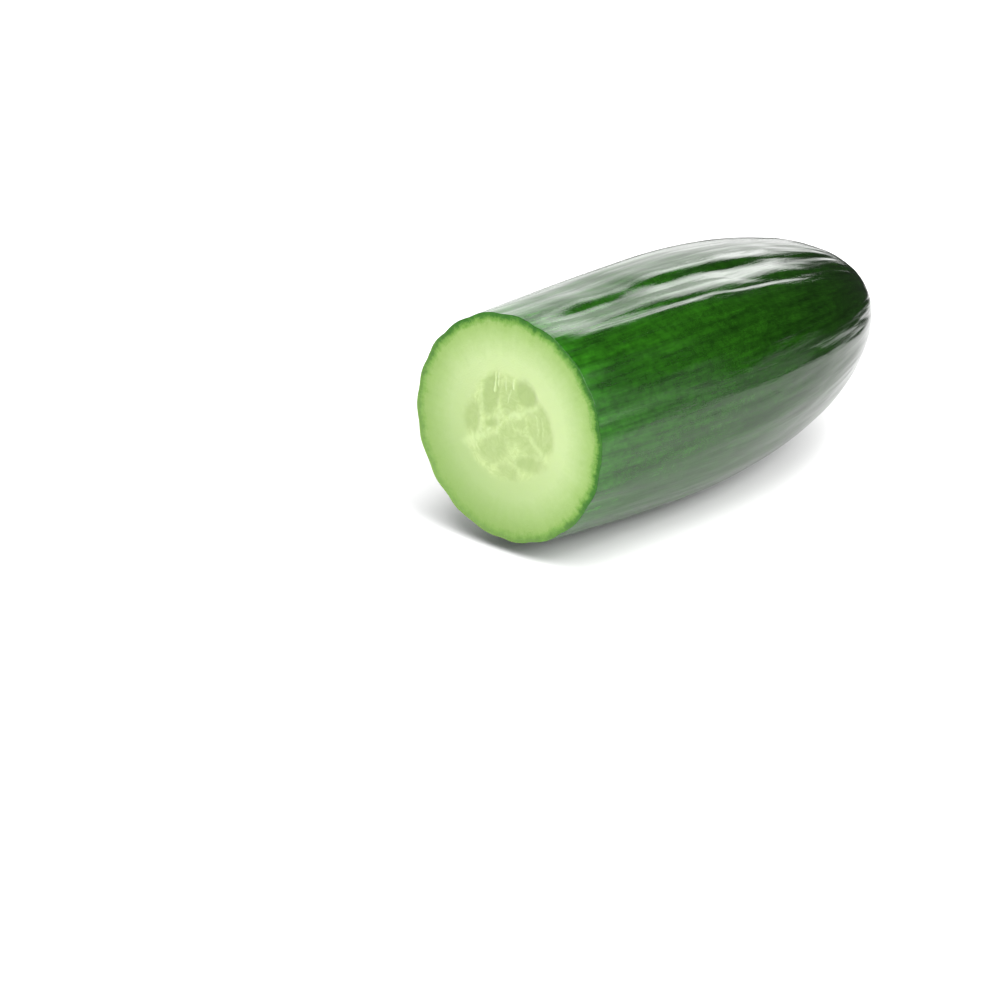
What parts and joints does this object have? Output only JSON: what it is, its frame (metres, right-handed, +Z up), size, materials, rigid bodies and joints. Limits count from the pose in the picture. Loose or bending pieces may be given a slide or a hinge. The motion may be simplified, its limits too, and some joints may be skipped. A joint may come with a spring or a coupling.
{
  "type": "cucumber half",
  "caption": "Half of a fresh greenhouse cucumber, cut across, lying on its side with its pale seed core showing.",
  "frame": {"origin": "on the surface the cucumber lies on, under the middle of its bounding box", "axes": "+Y from the cut face to the blossom end, +Z up, +X to the right when looking at the cut face"},
  "size_m": [0.0532, 0.1128, 0.0496],
  "materials": {
    "skin": "glossy waxy dark green fruit skin, pale green wet flesh on the cut"
  },
  "bodies": {
    "root": {"cucumber_half": "skin"}
  },
  "joints": []
}
